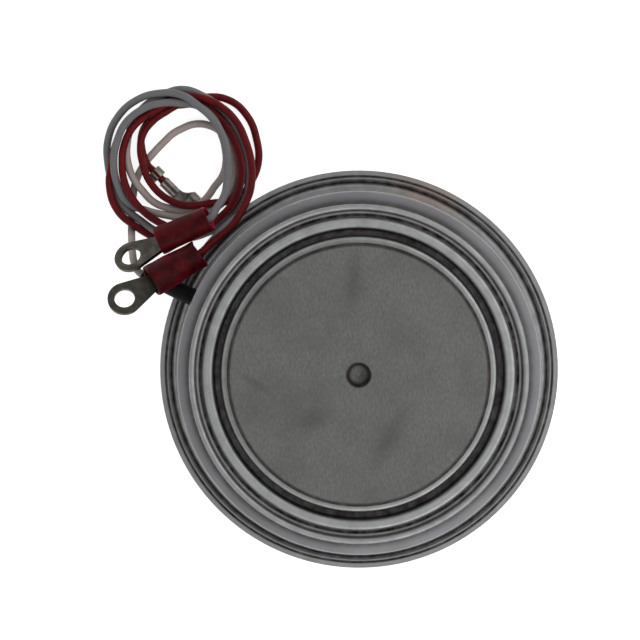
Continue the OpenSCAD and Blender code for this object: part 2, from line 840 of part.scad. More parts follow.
cathode_pole();
cathode_flange();
ceramic_ring();
weld_ring();
anode_flange();
anode_pole();
anode_molybdenum_disc();
silicon_wafer();
cathode_molybdenum_disc();
locating_ring();
gate_contact_pin();
gate_spring();
gate_insulator();
gate_inner_lead();
gate_tube();
gate_pin();
gate_pin_socket();
gate_sleeve();
gate_lead();
gate_lead_coil();
gate_lead_tail();
gate_ring_terminal();
gate_terminal_sleeve();
cathode_lead();
cathode_lead_coil();
cathode_lead_tail();
cathode_ring_terminal();
cathode_terminal_sleeve();
cathode_receptacle();
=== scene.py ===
# %% [markdown]
# # A disc thyristor
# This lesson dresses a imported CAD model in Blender: a flat power-semiconductor capsule with two coiled leads.
# The CAD nodes come in as a fixed frame, in metres. Shapes that the CAD already has right only get a
# material. The leads, the terminals and the sleeves are modelled again, with the softness of the real ones.

# %% Load the frame
import json
from math import cos, radians, sin

import bpy
from mathutils import Euler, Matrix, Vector


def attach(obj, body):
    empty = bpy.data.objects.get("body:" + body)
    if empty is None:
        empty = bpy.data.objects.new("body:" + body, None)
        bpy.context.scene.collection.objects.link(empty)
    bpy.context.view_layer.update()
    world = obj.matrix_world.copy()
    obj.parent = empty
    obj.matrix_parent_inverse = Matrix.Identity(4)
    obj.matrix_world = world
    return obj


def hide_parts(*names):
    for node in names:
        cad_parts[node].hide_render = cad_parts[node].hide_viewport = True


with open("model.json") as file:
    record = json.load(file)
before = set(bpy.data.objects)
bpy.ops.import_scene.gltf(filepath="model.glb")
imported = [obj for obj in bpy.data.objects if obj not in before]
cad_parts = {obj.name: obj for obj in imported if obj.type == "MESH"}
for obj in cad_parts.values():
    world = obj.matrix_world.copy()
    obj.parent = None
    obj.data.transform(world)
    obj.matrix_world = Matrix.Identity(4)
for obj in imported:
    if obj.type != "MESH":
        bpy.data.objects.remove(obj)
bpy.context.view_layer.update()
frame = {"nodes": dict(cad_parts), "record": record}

MM = 0.001
nodes = frame["nodes"]
print("CAD nodes:", len(nodes))

# %% [markdown]
# ## Small tools
# Operators act on whatever is selected, so every step starts from an empty selection. A finished piece sits
# at the origin with its place in its mesh, rides on the only body, and says which CAD nodes it stands for.

# %% Tools for pieces
def deselect():
    if bpy.context.object and bpy.context.object.mode == "EDIT":
        bpy.ops.object.mode_set(mode="OBJECT")
    bpy.ops.object.select_all(action="DESELECT")


def named(name):
    piece = bpy.context.object
    piece.name = piece.data.name = name
    return piece


def pick(piece):
    deselect()
    piece.select_set(True)
    bpy.context.view_layer.objects.active = piece


def add_modifier(piece, kind, **settings):
    pick(piece)
    modifier = piece.modifiers.new(kind.title(), kind)
    for key, value in settings.items():
        setattr(modifier, key, value)
    bpy.ops.object.modifier_apply(modifier=modifier.name)


def finish(piece, finish_material, slot, *replaced, smooth=40):
    pick(piece)
    if piece.type == "MESH":
        bpy.ops.object.shade_smooth_by_angle(angle=radians(smooth))
    piece.data.materials.clear()
    piece.data.materials.append(finish_material)
    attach(piece, "root")
    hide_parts(*replaced)
    print(piece.name, "stands for", ", ".join(replaced))


# %% Tools for materials
def linear(hex_code):
    channels = [int(hex_code[i:i + 2], 16) / 255 for i in (1, 3, 5)]
    return [c / 12.92 if c <= 0.04045 else ((c + 0.055) / 1.055) ** 2.4 for c in channels] + [1]


def add(tree, kind, values, **settings):
    made = tree.nodes.new("ShaderNode" + kind)
    for key, value in settings.items():
        setattr(made, key, value)
    for socket, value in values.items():
        if isinstance(value, bpy.types.NodeSocket):
            tree.links.new(value, made.inputs[socket])
        else:
            made.inputs[socket].default_value = value
    return made


def new_material(name, **uniform):
    made = bpy.data.materials.new(name)
    made.use_nodes = True
    skin = made.node_tree.nodes["Principled BSDF"]
    for key, value in uniform.items():
        skin.inputs[key.replace("_", " ")].default_value = value
    place = add(made.node_tree, "TexCoord", {}).outputs["Object"]
    return made, made.node_tree, skin, place


def per_mm(size):
    """Scale of a noise whose patches are about so many millimetres wide."""
    return 1 / (size * MM)


# %% [markdown]
# ## The camera
# The photo looks almost straight down from about 0.65 m with a long lens, so the lower rim shows a little
# more on one side than on the other. A tilt of two degrees gives that; no lens shift is needed.

# %% Camera
CAMERA_AT = (0.85, 32.4, 655)
CAMERA_TILT = (-2.058, 0.708, 0)
bpy.ops.object.camera_add(
    location=[c * MM for c in CAMERA_AT], rotation=[radians(a) for a in CAMERA_TILT],
)
camera = named("camera")
camera.data.sensor_width = 36
camera.data.lens = 198.3
camera.data.clip_start = 0.05
bpy.context.scene.camera = camera
print("camera at", tuple(round(c / MM, 1) for c in camera.location), "mm")

# %% [markdown]
# ## The two leads
# Each lead is one thin insulated wire, wound into a loose coil of about three and a half turns. A curve with
# a round bevel is the natural way: one open line per lead. The free stretches leave and arrive where those
# of the CAD model do. In between, the turns are worked out by a loop, with one radius and one height every
# 18 degrees, so that the strands cross over and under each other as in the photo.

# %% Route of the grey lead
LEAD_D = 1.4
COIL_X = -32.8
COIL_Y = 38
STATION_TURN = 18
GATE_Z = 12.3
GATE_HEADING = 156
GATE_ANGLE = radians(GATE_HEADING)
SHRUNK_END = 43.4  # where the black sleeve ends, from the capsule's axis


def gate_point(reach):
    return (reach * cos(GATE_ANGLE), reach * sin(GATE_ANGLE), GATE_Z)


gate_start = [
    gate_point(40.2), gate_point(41.8), gate_point(SHRUNK_END),
    (-40.6, 18.6, 12), (-41.2, 20, 10.3), (-41.6, 21.4, 7.7), (-41.9, 22.8, 5),
    (-42.1, 24.3, 2.6), (-42.2, 26, 1.1), (-42.2, 27.8, 0.75),
]
gate_first_angle = -144
# one value every 18 degrees, half a turn in each row
gate_radii = [
    11.4, 8.8, 6.9, 5.7, 5.2, 5.2, 5.7, 6.4, 7.6, 8.6,
    9.3, 9.6, 9.7, 10.1, 10.4, 10.4, 10, 10, 10.1, 10.9,
    12.4, 12.5, 12.5, 12.5, 12.6, 12.2, 11.6, 11, 10.9, 10.1,
    9.1, 8.5, 8.2, 7.9, 7.5, 7.9, 8.5, 8.6, 8.7, 8.9,
    8.9, 9.4, 10, 10.7, 11.5, 12.4, 12.9, 13.6, 13, 12.4,
    12, 12, 12.2, 12.9, 13.6, 13.7, 13.7, 13.6, 13.5, 13.1,
    13.5, 13.4, 13.8, 14.4, 14.6, 14.3, 13.5, 12.5, 10.9, 10,
    9.3, 8.9,
]
gate_heights = [
    0.7, 0.7, 0.7, 0.7, 0.7, 0.7, 0.7, 0.7, 0.7, 0.7,
    0.7, 0.7, 0.9, 1.1, 1.6, 2.6, 2.6, 2.6, 2.1, 2.2,
    2.5, 3, 3.5, 3.9, 4.1, 4.4, 4.7, 4.6, 4.3, 4,
    3.5, 3.2, 2.9, 2.8, 2.7, 2.6, 2.6, 2.6, 2.4, 2.2,
    2.1, 2.1, 2, 2, 2.2, 2.7, 2.9, 3, 2.7, 2.3,
    2.2, 2.2, 2.2, 2.2, 2.3, 2.4, 2.4, 2.4, 2.4, 2,
    1.5, 0.9, 0.8, 1.2, 1.8, 2.7, 4.1, 5.2, 5.9, 6.4,
    6.8, 7.3,
]
gate_end = [(-24.15, 37, 7.8), (-24.2, 34.4, 9), (-24.7, 31.8, 10.8), (-26, 29.6, 12.4)]

# %% Route of the red lead
cathode_start = [(-39, 37.4, 1.6), (-39.6, 38.6, 1.9)]
cathode_first_angle = -198
# one value every 18 degrees, half a turn in each row
cathode_radii = [
    7.8, 9.2, 10, 10.7, 10.8, 11.4, 11.2, 10.8, 10.8, 10.8,
    11.5, 11.3, 9.2, 8.2, 7.7, 7.2, 6.9, 6.8, 6.9, 7.2,
    8, 8.9, 9.4, 9.9, 11.1, 12.8, 14.5, 14.9, 14.5, 14.1,
    13.1, 12.5, 13.2, 13.7, 14, 14.6, 14.5, 14.8, 14.1, 13,
    12.7, 12.8, 12.4, 12.7, 12.4, 11.5, 10.8, 10.6, 10.6, 11,
    11.5, 12, 12.3, 12.8, 12.5, 11.8, 11.4, 11.2, 11.1, 11,
    11.1, 11.1, 10.9, 11.1, 12.2, 12.6, 12.7, 12.7, 12.6, 13,
]
cathode_heights = [
    1.2, 1, 0.9, 0.8, 0.7, 0.8, 1, 1.2, 1.5, 1.8,
    2.2, 2.7, 3.4, 4, 3.7, 3.5, 3.3, 3.1, 3, 3.1,
    2.7, 2.5, 2.3, 2.1, 2, 1.2, 0.9, 0.8, 0.7, 0.7,
    0.7, 0.7, 0.8, 0.8, 1, 1.4, 2.2, 2.2, 2.2, 2.1,
    1.8, 1.6, 1.3, 1.5, 2.3, 2.7, 2.7, 3, 3.2, 3.5,
    3.7, 4, 3.9, 3.9, 3.8, 3.7, 3.6, 3.5, 3.5, 3.4,
    3.5, 3.6, 3.4, 3.4, 3.8, 4.2, 4.6, 5.1, 5.7, 6.6,
]
cathode_end = [
    (-19.8, 33.6, 7.8), (-20.6, 31, 8.8), (-21.8, 28.6, 10),
    (-23.3, 26.4, 11.2), (-25.2, 24.7, 12.4), (-27.1, 23.1, 13.6),
]

# %% [markdown]
# Both leads end in a ring terminal. A terminal is drawn along its own x axis from the ring's centre, then
# rolled, dipped and turned into place, so one function tells where a point of its crimp barrel lies.

# %% Places of the terminals and of the receptacle
BARREL_Z = 0.9
BARREL_END = 12.3
SLEEVE_END = 16.2
gate_terminal = ((-41.5, 20.8, 12.8), (-38, 0, 24.2))
cathode_terminal = ((-42.4, 13.3, 17.5), (-23, 14, 30))
RECEPTACLE_X = -36.2
RECEPTACLE_Y = 34.6
RECEPTACLE_TURN = -45.5
RECEPTACLE_HEADING = radians(RECEPTACLE_TURN)
CRIMP_LEAD_Z = 1.1
CRIMP_LEAD_X = -0.2


def barrel_point(terminal, x):
    at, turn = terminal
    turned = Euler([radians(a) for a in turn]).to_matrix() @ Vector((x, 0, BARREL_Z))
    return tuple(Vector(at) + turned)


def receptacle_point(x):
    return (
        RECEPTACLE_X + x * cos(RECEPTACLE_HEADING),
        RECEPTACLE_Y + x * sin(RECEPTACLE_HEADING),
        CRIMP_LEAD_Z,
    )


def coil_points(first_angle, radii, heights):
    points = []
    for step, (radius, height) in enumerate(zip(radii, heights)):
        angle = radians(first_angle - STATION_TURN * step)
        points.append((COIL_X + radius * cos(angle), COIL_Y + radius * sin(angle), height))
    return points


def tail_points(terminal):
    middle = (SLEEVE_END + BARREL_END) / 2
    return [barrel_point(terminal, x) for x in (SLEEVE_END, middle, BARREL_END)]


gate_path = gate_start + coil_points(gate_first_angle, gate_radii, gate_heights)
gate_path += gate_end + tail_points(gate_terminal)
cathode_path = [receptacle_point(x) for x in (CRIMP_LEAD_X, -1.6, -3)] + cathode_start
cathode_path += coil_points(cathode_first_angle, cathode_radii, cathode_heights)
cathode_path += cathode_end + tail_points(cathode_terminal)


# %% Curves of the leads
def lay_lead(name, path):
    deselect()
    bpy.ops.curve.primitive_bezier_curve_add()
    lead = named(name)
    lead.data.splines.clear()
    spline = lead.data.splines.new("BEZIER")
    spline.bezier_points.add(len(path) - 1)
    for knot, point in zip(spline.bezier_points, path):
        knot.co = Vector(point) * MM
        knot.handle_left_type = knot.handle_right_type = "AUTO"
    spline.resolution_u = 6
    lead.data.dimensions = "3D"
    lead.data.bevel_depth = LEAD_D / 2 * MM
    lead.data.bevel_resolution = 5
    lead.data.use_fill_caps = True
    print(name, "length", round(spline.calc_length() / MM, 1), "mm over", len(path), "points")
    return lead, spline.calc_length()


gate_lead, gate_length = lay_lead("grey_gate_lead", gate_path)
cathode_lead, cathode_length = lay_lead("red_cathode_lead", cathode_path)

# %% [markdown]
# ## Insulation of the leads
# Extruded silicone rubber, dyed grey and dark red. It has a satin skin with a faint mottling. The grey one
# lets light through: where it lies alone on the bright table, inside the coil, and where it starts at the
# capsule, it is painted paler than in the thick of the coil: painted light from the bright table.

# %% Material: grey insulation
# painted light from the table: pale turns to grey between these heights, distances from the coil's axis
# and distances from the lead's start
PALE_Z, GREY_Z = 2.6 * MM, 4.4 * MM
PALE_R, GREY_R = 9.8 * MM, 11.4 * MM
PALE_NEAR, GREY_AWAY = 5.5 * MM, 8 * MM
START_AT = (-41.3 * MM, 21.2 * MM, 8 * MM)
soft_step = {"interpolation_type": "SMOOTHSTEP"}

grey_insulation, tree, skin, place = new_material(
    "grey_silicone_rubber", Roughness=0.6, Specular_IOR_Level=0.25,
)
height = add(tree, "SeparateXYZ", {0: place}).outputs["Z"]
high = add(tree, "MapRange", {0: height, 1: PALE_Z, 2: GREY_Z}, **soft_step)
middle = add(tree, "VectorMath", {0: place, 1: (-COIL_X * MM, -COIL_Y * MM, 0)}, operation="ADD")
across = add(tree, "VectorMath", {0: middle.outputs[0], 1: (1, 1, 0)}, operation="MULTIPLY")
radius = add(tree, "VectorMath", {0: across.outputs[0]}, operation="LENGTH")
outer = add(tree, "MapRange", {0: radius.outputs["Value"], 1: PALE_R, 2: GREY_R}, **soft_step)
lift = add(tree, "Math", {0: high.outputs[0], 1: outer.outputs[0]}, operation="MAXIMUM")
away = add(tree, "VectorMath", {0: place, 1: START_AT}, operation="DISTANCE")
later = add(tree, "MapRange", {0: away.outputs["Value"], 1: PALE_NEAR, 2: GREY_AWAY}, **soft_step)
less_table_light = add(tree, "Math", {0: lift.outputs[0], 1: later.outputs[0]}, operation="MULTIPLY")

# %% Colour of the grey insulation
mottle = add(tree, "TexNoise", {"Vector": place, "Scale": per_mm(1.6), "Detail": 3})
# painted light: the pale colour near the table, the plain grey deeper in the coil
tone = add(tree, "Mix", {0: less_table_light.outputs[0], 6: linear("#cabcb6"), 7: linear("#808082")}, data_type="RGBA")
dark = add(tree, "MapRange", {0: mottle.outputs["Fac"], 1: 0.3, 2: 0.75, 3: 0.12, 4: 0.0})
shade = add(tree, "Mix", {0: dark.outputs[0], 6: tone.outputs[2], 7: linear("#4a4648")}, data_type="RGBA")
tree.links.new(shade.outputs[2], skin.inputs["Base Color"])
bump = add(tree, "Bump", {"Strength": 0.15, "Distance": 0.05 * MM, "Height": mottle.outputs["Fac"]})
tree.links.new(bump.outputs[0], skin.inputs["Normal"])

# %% Material: red insulation
red_insulation, tree, skin, place = new_material(
    "red_silicone_rubber", Roughness=0.55, Specular_IOR_Level=0.2,
)
mottle = add(tree, "TexNoise", {"Vector": place, "Scale": per_mm(1.8), "Detail": 3})
dark = add(tree, "MapRange", {0: mottle.outputs["Fac"], 1: 0.3, 2: 0.7})
shade = add(tree, "Mix", {0: dark.outputs[0], 6: linear("#5a0a10"), 7: linear("#761016")}, data_type="RGBA")
tree.links.new(shade.outputs[2], skin.inputs["Base Color"])
bump = add(tree, "Bump", {"Strength": 0.15, "Distance": 0.05 * MM, "Height": mottle.outputs["Fac"]})
tree.links.new(bump.outputs[0], skin.inputs["Normal"])

# %% Dress the leads
finish(gate_lead, grey_insulation, "grey_insulation", "gate_lead", "gate_lead_coil", "gate_lead_tail")
finish(
    cathode_lead, red_insulation, "red_insulation", "cathode_lead", "cathode_lead_coil", "cathode_lead_tail",
)

# %% [markdown]
# ## Ring terminals
# Each is stamped from tinned copper strip: a ring for a 3.5 mm screw, a neck, and a barrel rolled round the
# wire. A flat ring starts as a circle whose edge is extruded outwards; the neck is pulled out of the ring's
# side, and Solidify and Bevel give the strip its thickness and its rounded, stamped edge.

# %% Tools for edit mode
def select_points(piece, wanted):
    bpy.ops.object.mode_set(mode="OBJECT")
    mesh = piece.data
    for group in (mesh.polygons, mesh.edges):
        group.foreach_set("select", [False] * len(group))
    for point in mesh.vertices:
        point.select = wanted(point.co / MM)
    bpy.ops.object.mode_set(mode="EDIT")
    bpy.ops.mesh.select_mode(type="VERT")


def push(x=0, y=0, z=0):
    bpy.ops.transform.translate(value=(x * MM, y * MM, z * MM))


def stretch(centre, x=1, y=1, z=1):
    bpy.ops.transform.resize(value=(x, y, z), center_override=[c * MM for c in centre])


def extrude(x=0, y=0, z=0):
    bpy.ops.mesh.extrude_region_move(TRANSFORM_OT_translate={"value": (x * MM, y * MM, z * MM)})


def settle(piece, at, turn):
    """Turns a piece from its own axes into place and leaves its object at the origin."""
    pick(piece)
    piece.rotation_euler = [radians(a) for a in turn]
    piece.location = Vector(at) * MM
    bpy.ops.object.transform_apply(location=True, rotation=True, scale=True)


# %% The ring and its neck
RING_R = 3.1
STUD_R = 1.85
TONGUE_T = 0.8
NECK_X = 5.5
NECK_W = 3.5
NECK_SIDE = 0.25 * RING_R  # the neck grows from the part of the ring beyond this
BARREL_START = 7
NECK_OVERLAP = 1


def round_edges(piece, width, segments):
    add_modifier(
        piece, "BEVEL", width=width * MM, segments=segments, limit_method="ANGLE", angle_limit=radians(50),
    )


def stamp_ring(name):
    deselect()
    bpy.ops.mesh.primitive_circle_add(vertices=64, radius=STUD_R * MM, fill_type="NOTHING")
    ring = named(name)
    bpy.ops.object.mode_set(mode="EDIT")
    extrude()
    stretch((0, 0, 0), RING_R / STUD_R, RING_R / STUD_R)
    select_points(ring, lambda p: p.length > RING_R - 0.01 and p.x > NECK_SIDE)
    reach = (RING_R ** 2 - NECK_SIDE ** 2) ** 0.5
    extrude(NECK_X - RING_R)
    stretch((NECK_X, 0, 0), 0, NECK_W / 2 / reach)
    extrude(BARREL_START + NECK_OVERLAP - NECK_X)
    bpy.ops.object.mode_set(mode="OBJECT")
    add_modifier(ring, "SOLIDIFY", thickness=TONGUE_T * MM, offset=0)
    round_edges(ring, 0.14, 3)
    return ring


# %% The barrel
BARREL_R = 1.65
BARREL_WALL = 0.6


def roll_barrel(name):
    deselect()
    bpy.ops.mesh.primitive_cylinder_add(
        vertices=40, radius=BARREL_R * MM, depth=(BARREL_END - BARREL_START) * MM, end_fill_type="NOTHING",
        location=((BARREL_END + BARREL_START) / 2 * MM, 0, BARREL_Z * MM), rotation=(0, radians(90), 0),
    )
    barrel = named(name)
    bpy.ops.object.transform_apply(location=True, rotation=True, scale=True)
    add_modifier(barrel, "SOLIDIFY", thickness=BARREL_WALL * MM, offset=-1)
    round_edges(barrel, 0.1, 2)
    return barrel


def make_terminal(name, terminal):
    barrel = roll_barrel(name + "_barrel")
    ring = stamp_ring(name)
    pick(ring)
    barrel.select_set(True)
    bpy.ops.object.join()
    settle(ring, *terminal)
    return ring


gate_ring = make_terminal("gate_ring_tongue", gate_terminal)
cathode_ring = make_terminal("cathode_ring_tongue", cathode_terminal)

# %% [markdown]
# Tinned copper that has dulled: a dark grey metal with an olive cast, a satin stamped surface and slightly
# brighter rubbed patches.

# %% Material: tinned copper
tinned_copper, tree, skin, place = new_material("dulled_tinned_copper", Metallic=1)
patch = add(tree, "TexNoise", {"Vector": place, "Scale": per_mm(1.4), "Detail": 4})
fac = add(tree, "MapRange", {0: patch.outputs["Fac"], 1: 0.35, 2: 0.7})
tint = add(tree, "Mix", {0: fac.outputs[0], 6: linear("#4e4b45"), 7: linear("#66625a")}, data_type="RGBA")
tree.links.new(tint.outputs[2], skin.inputs["Base Color"])
rough = add(tree, "MapRange", {0: patch.outputs["Fac"], 1: 0.3, 2: 0.7, 3: 0.5, 4: 0.34})
tree.links.new(rough.outputs[0], skin.inputs["Roughness"])
bump = add(tree, "Bump", {"Strength": 0.2, "Distance": 0.04 * MM, "Height": patch.outputs["Fac"]})
tree.links.new(bump.outputs[0], skin.inputs["Normal"])

finish(gate_ring, tinned_copper, "tinned_copper", "gate_ring_terminal")
finish(cathode_ring, tinned_copper, "tinned_copper", "cathode_ring_terminal")

# %% [markdown]
# ## Vinyl sleeves
# A soft red vinyl tube grips each barrel. It is flattened where the crimping tool pressed it, and its mouth
# is open for the wire and cut a little slanting. A circle is extruded from station to station and resized
# each time, which is how a hand-made loft goes; Solidify gives the wall, and a subdivision rounds it.

# %% Vinyl sleeves
SLEEVE_SIDES = 24
VINYL_WALL = 0.42
MOUTH_FROM = 15.5
MOUTH_CUTS = (0.6, 1.6)  # above these heights over the axis, the mouth is cut back one step more
MOUTH_STEP = 0.3
MOUTH_GLOW_W = 0.7
# place along the barrel, half width, half height
gate_vinyl_stations = [
    (5.6, 2.7, 2.5), (6.2, 2.78, 2.56), (7.1, 2.74, 2.5), (7.9, 2.66, 2.32), (8.7, 2.66, 2.2),
    (9.5, 2.64, 2.2), (11, 2.6, 2.25), (12.5, 2.52, 2.25), (13.2, 2.5, 2.2), (14, 2.48, 2.2),
    (14.8, 2.46, 2.24), (15.7, 2.48, 2.32), (16.2, 2.52, 2.4),
]
cathode_vinyl_stations = [
    (5.6, 2.6, 2.35), (6.2, 2.66, 2.4), (7.1, 2.65, 2.35), (7.9, 2.6, 2.15), (8.7, 2.66, 2.02),
    (9.5, 2.66, 2.0), (10.3, 2.6, 2.08), (11, 2.5, 2.15), (12.5, 2.35, 2.15), (13.2, 2.33, 1.9),
    (14, 2.27, 1.86), (14.8, 2.25, 1.95), (15.7, 2.27, 2.15), (16.2, 2.36, 2.3),
]


# %% Making a sleeve
def loft(name, stations, sides, axis_z):
    x, half_w, half_h = stations[0]
    deselect()
    bpy.ops.mesh.primitive_circle_add(
        vertices=sides, radius=MM, location=(x * MM, 0, axis_z * MM), rotation=(0, radians(90), 0)
    )
    piece = named(name)
    bpy.ops.object.transform_apply(location=True, rotation=True, scale=True)
    bpy.ops.object.mode_set(mode="EDIT")
    stretch((x, 0, axis_z), 1, half_w, half_h)
    for next_x, next_w, next_h in stations[1:]:
        extrude(next_x - x)
        stretch((next_x, 0, axis_z), 1, next_w / half_w, next_h / half_h)
        x, half_w, half_h = next_x, next_w, next_h
    bpy.ops.mesh.select_all(action="SELECT")
    bpy.ops.mesh.normals_make_consistent(inside=False)
    bpy.ops.object.mode_set(mode="OBJECT")
    return piece


def mark_lip(piece, mouth_x, width):
    """Stores how near each point is to the sleeve's mouth, for the painted light at the mouth in its material.
    """
    values = [max(0.0, 1 - (mouth_x - p.co.x / MM) / width) for p in piece.data.vertices]
    piece.data.attributes.new("lip", "FLOAT", "POINT").data.foreach_set("value", values)


def make_vinyl_sleeve(name, stations, terminal):
    sleeve = loft(name, stations, SLEEVE_SIDES, BARREL_Z)
    for above in MOUTH_CUTS:
        select_points(sleeve, lambda p: p.x > MOUTH_FROM and p.z > BARREL_Z + above)
        push(x=-MOUTH_STEP)
    bpy.ops.object.mode_set(mode="OBJECT")
    add_modifier(sleeve, "SOLIDIFY", thickness=VINYL_WALL * MM, offset=-1)
    add_modifier(sleeve, "SUBSURF", levels=2, render_levels=2)
    mark_lip(sleeve, SLEEVE_END, MOUTH_GLOW_W)
    settle(sleeve, *terminal)
    return sleeve


gate_vinyl = make_vinyl_sleeve("gate_vinyl_sleeve", gate_vinyl_stations, gate_terminal)
cathode_vinyl = make_vinyl_sleeve("cathode_vinyl_sleeve", cathode_vinyl_stations, cathode_terminal)

# %% [markdown]
# Plasticised vinyl, dyed crimson and a little see-through: the dark barrel shows through in blotches, and
# the thin mouth, which has only air behind it, is painted a brighter pink-red as painted light coming through
# it. A red sheen stands for the light that the wall lets through at its edges.

# %% Material: red vinyl
red_vinyl, tree, skin, place = new_material(
    "crimson_vinyl", Roughness=0.45, Specular_IOR_Level=0.12, Sheen_Weight=0.4, Sheen_Roughness=0.35,
    Sheen_Tint=linear("#c8203e"),
)
blotch = add(tree, "TexNoise", {"Vector": place, "Scale": per_mm(2.2), "Detail": 5, "Roughness": 0.6})
fac = add(tree, "MapRange", {0: blotch.outputs["Fac"], 1: 0.36, 2: 0.66})
tone = add(tree, "Mix", {0: fac.outputs[0], 6: linear("#360509"), 7: linear("#600a15")}, data_type="RGBA")
# painted light: a brighter pink-red near the mouth, for the light that comes through the thin wall
lip = add(tree, "Attribute", {}, attribute_name="lip")
shade = add(tree, "Mix", {0: lip.outputs["Fac"], 6: tone.outputs[2], 7: linear("#b3244a")}, data_type="RGBA")
tree.links.new(shade.outputs[2], skin.inputs["Base Color"])
bump = add(tree, "Bump", {"Strength": 0.35, "Distance": 0.12 * MM, "Height": blotch.outputs["Fac"]})
tree.links.new(bump.outputs[0], skin.inputs["Normal"])

finish(gate_vinyl, red_vinyl, "red_vinyl", "gate_terminal_sleeve")
finish(cathode_vinyl, red_vinyl, "red_vinyl", "cathode_terminal_sleeve")

# %% [markdown]
# ## The black sleeve
# A shrunk tube covers the gate terminal. It grips the pin's socket, so its outline swells and narrows a
# little along its length, and at the end it closes round the lead. It is lofted like the vinyl sleeves.

# %% Black sleeve
SHRUNK_SIDES = 32
TURN_IN = 0.05
BORE_SHARE = 0.58
BORE_DEPTH = 2.2
# reach from the capsule's axis, half width, half height
shrunk_stations = [
    (31.75, 1.62, 1.5), (32.2, 1.6, 1.48), (33.2, 1.58, 1.46), (34.4, 1.62, 1.48), (36.2, 1.58, 1.46),
    (38, 1.5, 1.42), (39.4, 1.45, 1.4), (40.6, 1.4, 1.36), (41.8, 1.32, 1.27), (42.8, 1.28, 1.24),
    (SHRUNK_END, 1.32, 1.28),
]
black_sleeve = loft("gate_black_sleeve", shrunk_stations, SHRUNK_SIDES, GATE_Z)
bpy.ops.object.mode_set(mode="EDIT")
select_points(black_sleeve, lambda p: p.x > SHRUNK_END - 0.1)
extrude(-TURN_IN)
stretch((SHRUNK_END - TURN_IN, 0, GATE_Z), 1, BORE_SHARE, BORE_SHARE)
extrude(-BORE_DEPTH)
bpy.ops.mesh.select_all(action="SELECT")
bpy.ops.mesh.normals_make_consistent(inside=False)
add_modifier(black_sleeve, "SUBSURF", levels=1, render_levels=1)
settle(black_sleeve, (0, 0, 0), (0, 0, GATE_HEADING))

# %% [markdown]
# Shrunk polyolefin tube is matt black, with a faint unevenness from the heat that shrank it.

# %% Material: black sleeving
black_sleeving, tree, skin, place = new_material(
    "black_polyolefin_sleeving", Roughness=0.65, Specular_IOR_Level=0.2,
)
grain = add(tree, "TexNoise", {"Vector": place, "Scale": per_mm(0.9), "Detail": 4})
fac = add(tree, "MapRange", {0: grain.outputs["Fac"], 1: 0.35, 2: 0.7})
shade = add(tree, "Mix", {0: fac.outputs[0], 6: linear("#0e0d0d"), 7: linear("#191716")}, data_type="RGBA")
tree.links.new(shade.outputs[2], skin.inputs["Base Color"])
bump = add(tree, "Bump", {"Strength": 0.3, "Distance": 0.06 * MM, "Height": grain.outputs["Fac"]})
tree.links.new(bump.outputs[0], skin.inputs["Normal"])
finish(black_sleeve, black_sleeving, "black_sleeving", "gate_sleeve")

# %% [markdown]
# ## Painted shade
# Every groove and corner of the capsule gets painted shade in a dark brown. All of these run round
# the axis, so one ramp on the distance from the axis, broken up by a noise, says how much shade is painted.

# %% Painted shade round the axis
RIM_R = 36.6
# dark brown of the painted shade in grooves and corners
SHADE_BROWN = "#2a221e"


def painted_shade_rings(tree, place, stops):
    """Painted shade from 0 to 1 at each of several radii in millimetres, smooth in between."""
    across = add(tree, "VectorMath", {0: place, 1: (1, 1, 0)}, operation="MULTIPLY")
    radius = add(tree, "VectorMath", {0: across.outputs[0]}, operation="LENGTH")
    share = add(tree, "Math", {0: radius.outputs["Value"], 1: RIM_R * MM}, operation="DIVIDE")
    ramp = add(tree, "ValToRGB", {0: share.outputs[0]})
    marks = ramp.color_ramp.elements
    while len(marks) < len(stops):
        marks.new(0.5)
    for mark, (at, amount) in zip(marks, stops):
        mark.position = at / RIM_R
        mark.color = (amount, amount, amount, 1)
    patch = add(tree, "TexNoise", {"Vector": place, "Scale": per_mm(1.5), "Detail": 4})
    uneven = add(tree, "MapRange", {0: patch.outputs["Fac"], 1: 0.3, 2: 0.7, 3: 0.82, 4: 1.06})
    shade_amount = add(tree, "Math", {0: ramp.outputs["Color"], 1: uneven.outputs[0]}, operation="MULTIPLY")
    return shade_amount.outputs[0]


# %% [markdown]
# ## The poles
# Nickel-plated copper, lapped flat, so that it presses evenly on a heat sink. Lapping leaves a fine matt
# grain, and handling leaves soft dark smudges. The CAD shape is right as it is and only needs its finish.
# The grain is much finer than a pixel, so it is drawn at about a third of a millimetre to show at all.

# %% Material: lapped nickel plate
lapped_nickel, tree, skin, place = new_material("lapped_nickel_plate", Metallic=1)
lay = add(tree, "Mapping", {0: place, "Rotation": (0, 0, radians(62)), "Scale": (1, 0.45, 1)})
grain = add(
    tree, "TexNoise", {"Vector": lay.outputs[0], "Scale": per_mm(0.35), "Detail": 4, "Roughness": 0.7},
)
cloud = add(tree, "TexNoise", {"Vector": place, "Scale": per_mm(9), "Detail": 4, "Roughness": 0.55})

# %% Smudges on the poles
# centre x, y, half length, half width, heading
smudges = [(-18.6, -1.4, 5, 1.3, -33), (-0.8, 18, 8, 2.2, 86), (-8.5, -8, 7, 3.5, 20), (5, -12, 9, 3, 62)]
smear = 0.0
for x, y, half_length, half_width, heading in smudges:
    shift = add(tree, "VectorMath", {0: place, 1: (-x * MM, -y * MM, 0)}, operation="ADD")
    turned = add(tree, "VectorRotate", {"Vector": shift.outputs[0], "Angle": radians(-heading)})
    size = (1 / half_length / MM, 1 / half_width / MM, 0)
    spread = add(tree, "VectorMath", {0: turned.outputs[0], 1: size}, operation="MULTIPLY")
    reach = add(tree, "VectorMath", {0: spread.outputs[0]}, operation="LENGTH")
    soft = add(tree, "MapRange", {0: reach.outputs["Value"], 3: 1, 4: 0}, **soft_step)
    smear = add(tree, "Math", {0: soft.outputs[0], 1: smear}, operation="MAXIMUM").outputs[0]

